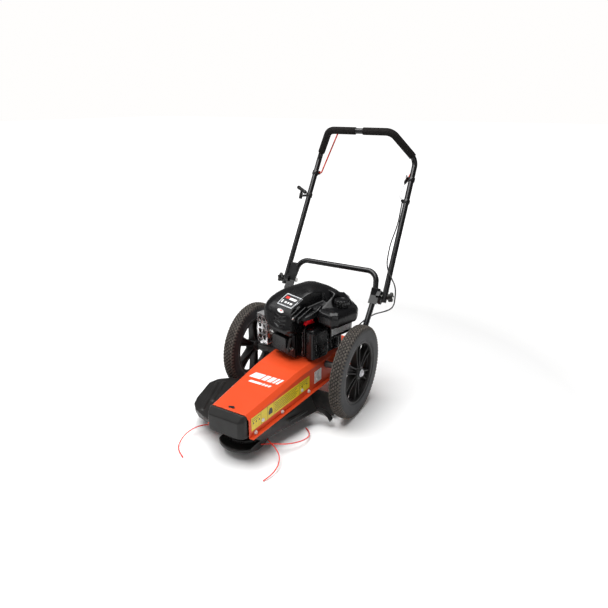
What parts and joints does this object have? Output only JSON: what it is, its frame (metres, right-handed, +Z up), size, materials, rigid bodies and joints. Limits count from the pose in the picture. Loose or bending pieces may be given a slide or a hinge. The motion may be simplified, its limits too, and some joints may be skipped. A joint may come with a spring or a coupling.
{
  "type": "brush mower",
  "caption": "Walk-behind wheeled string trimmer mower with an orange belt-drive deck, black vertical-shaft engine, spoked wheels and a folding handle.",
  "frame": {"origin": "bottom centre of the machine's bounding box, trimmer lines left out, on the ground", "axes": "+Z up, -Y towards the trimmer head (the way it is pushed), +Y towards the handle and the operator, +X the operator's left"},
  "size_m": [0.5712, 1.1338, 1.02],
  "materials": {
    "orange_paint": "semi-gloss powder coat",
    "black_paint": "satin powder coat",
    "black_plastic": "moulded, fine grain",
    "engine_plastic": "satin moulded",
    "tyre_rubber": "matte rubber",
    "foam": "closed-cell foam",
    "rubber": "matte rubber",
    "zinc": "zinc plated",
    "steel": "machined",
    "cast_aluminium": "as cast",
    "black_aluminium": "black painted casting",
    "cast_iron": "as cast",
    "chrome_guard": "bright pressed steel",
    "red_plastic": "gloss moulded",
    "red_rod": "gloss powder coat",
    "nylon_line": "extruded nylon",
    "filter_foam": "pleated paper",
    "rope": "braided cord",
    "hub_grey": "silver lacquer"
  },
  "bodies": {
    "root": {"deck": "orange_paint", "belly_plate": "black_paint", "front_bumper": "black_plastic", "trimmer_guard": "black_plastic", "rear_skirt": "rubber", "axles": "zinc", "spindle_housing": "cast_iron", "spindle_bearings": "steel", "drive_belt": "rubber", "bolts": "zinc", "fold_clamps": "black_plastic", "lower_handle": "black_paint", "crankcase": "cast_aluminium", "cylinder": "black_aluminium", "valve_cover": "black_paint", "spark_plug": "steel", "plug_boot": "rubber", "blower_shroud": "engine_plastic", "fuel_tank": "engine_plastic", "carburettor": "cast_aluminium", "air_filter_base": "engine_plastic", "air_filter_element": "filter_foam", "air_filter_cover": "engine_plastic", "muffler": "steel", "muffler_guard": "chrome_guard", "oil_fill_tube": "engine_plastic", "cable_lower": "black_plastic", "tension_spring": "steel"},
    "wheel_left": {"tyre_left": "tyre_rubber", "rim_left": "black_plastic", "hub_cap_left": "hub_grey"},
    "wheel_right": {"tyre_right": "tyre_rubber", "rim_right": "black_plastic", "hub_cap_right": "hub_grey"},
    "crank": {"crankshaft": "steel", "engine_pulley": "steel", "flywheel": "cast_aluminium"},
    "cutting_head": {"spindle_shaft": "steel", "head_pulley": "steel", "trimmer_head": "black_plastic", "head_base": "black_plastic", "trimmer_line_1": "nylon_line", "trimmer_line_2": "nylon_line", "trimmer_line_3": "nylon_line", "trimmer_line_4": "nylon_line"},
    "idler": {"idler_arm": "zinc", "idler_pulley": "black_plastic"},
    "handle": {"upper_handle": "black_paint", "grips": "foam", "bail_brackets": "black_paint", "rope_guide": "black_plastic", "cable_upper": "black_plastic"},
    "bail": {"bail": "red_rod"},
    "knob_left": {"star_knob_left": "black_plastic"},
    "knob_right": {"star_knob_right": "black_plastic"},
    "starter": {"starter_grip": "black_plastic", "starter_rope": "rope"},
    "fuel_cap": {"fuel_cap": "engine_plastic"},
    "oil_cap": {"oil_cap": "black_plastic"},
    "throttle": {"throttle_lever": "red_plastic"}
  },
  "joints": [
    {"name": "wheel_left_spin", "type": "hinge", "parent": "root", "child": "wheel_left", "pos_m": [0.23959, -0.05006, 0.178], "axis": [1, 0, 0], "continuous": true},
    {"name": "wheel_right_spin", "type": "hinge", "parent": "root", "child": "wheel_right", "pos_m": [-0.22361, -0.05006, 0.178], "axis": [1, 0, 0], "continuous": true},
    {"name": "crank_spin", "type": "hinge", "parent": "root", "child": "crank", "pos_m": [0.01299, -0.02006, 0.2], "axis": [0, 0, 1], "continuous": true},
    {"name": "head_spin", "type": "hinge", "parent": "root", "child": "cutting_head", "pos_m": [0.00799, -0.42806, 0.1], "axis": [0, 0, 1], "continuous": true},
    {"name": "handle_fold", "type": "hinge", "parent": "root", "child": "handle", "pos_m": [0.00799, 0.20844, 0.394], "axis": [1, 0, 0], "range_deg": [0, 108]},
    {"name": "bail_squeeze", "type": "hinge", "parent": "handle", "child": "bail", "pos_m": [0.00799, 0.46194, 0.82], "axis": [1, 0, 0], "range_deg": [0, 15], "stiffness_Nm_per_rad": 1.2, "springref_deg": -20.05},
    {"name": "idler_swing", "type": "hinge", "parent": "root", "child": "idler", "pos_m": [0.08399, -0.12006, 0.15], "axis": [0, 0, 1], "range_deg": [-8, 0], "deforming": ["tension_spring"]},
    {"name": "knob_left_turn", "type": "hinge", "parent": "handle", "child": "knob_left", "pos_m": [0.26299, 0.20844, 0.394], "axis": [1, 0, 0], "continuous": true},
    {"name": "knob_right_turn", "type": "hinge", "parent": "handle", "child": "knob_right", "pos_m": [-0.24701, 0.20844, 0.394], "axis": [1, 0, 0], "continuous": true},
    {"name": "starter_pull", "type": "slide", "parent": "handle", "child": "starter", "axis": [0.095, 0.176, 0.9798], "range_m": [0, 0.45], "stiffness_N_per_m": 15, "springref_m": -0.5, "deforming": ["starter_rope"]},
    {"name": "fuel_cap_turn", "type": "hinge", "parent": "root", "child": "fuel_cap", "pos_m": [0.16828, -0.03165, 0.438], "axis": [0, 0, 1], "range_deg": [0, 90]},
    {"name": "oil_cap_turn", "type": "hinge", "parent": "root", "child": "oil_cap", "pos_m": [0.01324, 0.13931, 0.322], "axis": [0.0782, 0.2919, 0.9532], "continuous": true},
    {"name": "throttle_turn", "type": "hinge", "parent": "root", "child": "throttle", "pos_m": [0.07367, -0.07566, 0.35], "axis": [0, 0, 1], "range_deg": [0, 35]}
  ],
  "couplings": [
    {"joint": "head_spin", "follows": "crank_spin", "ratio": 0.8421},
    {"joint": "idler_swing", "follows": "bail_squeeze", "ratio": -0.53333}
  ]
}
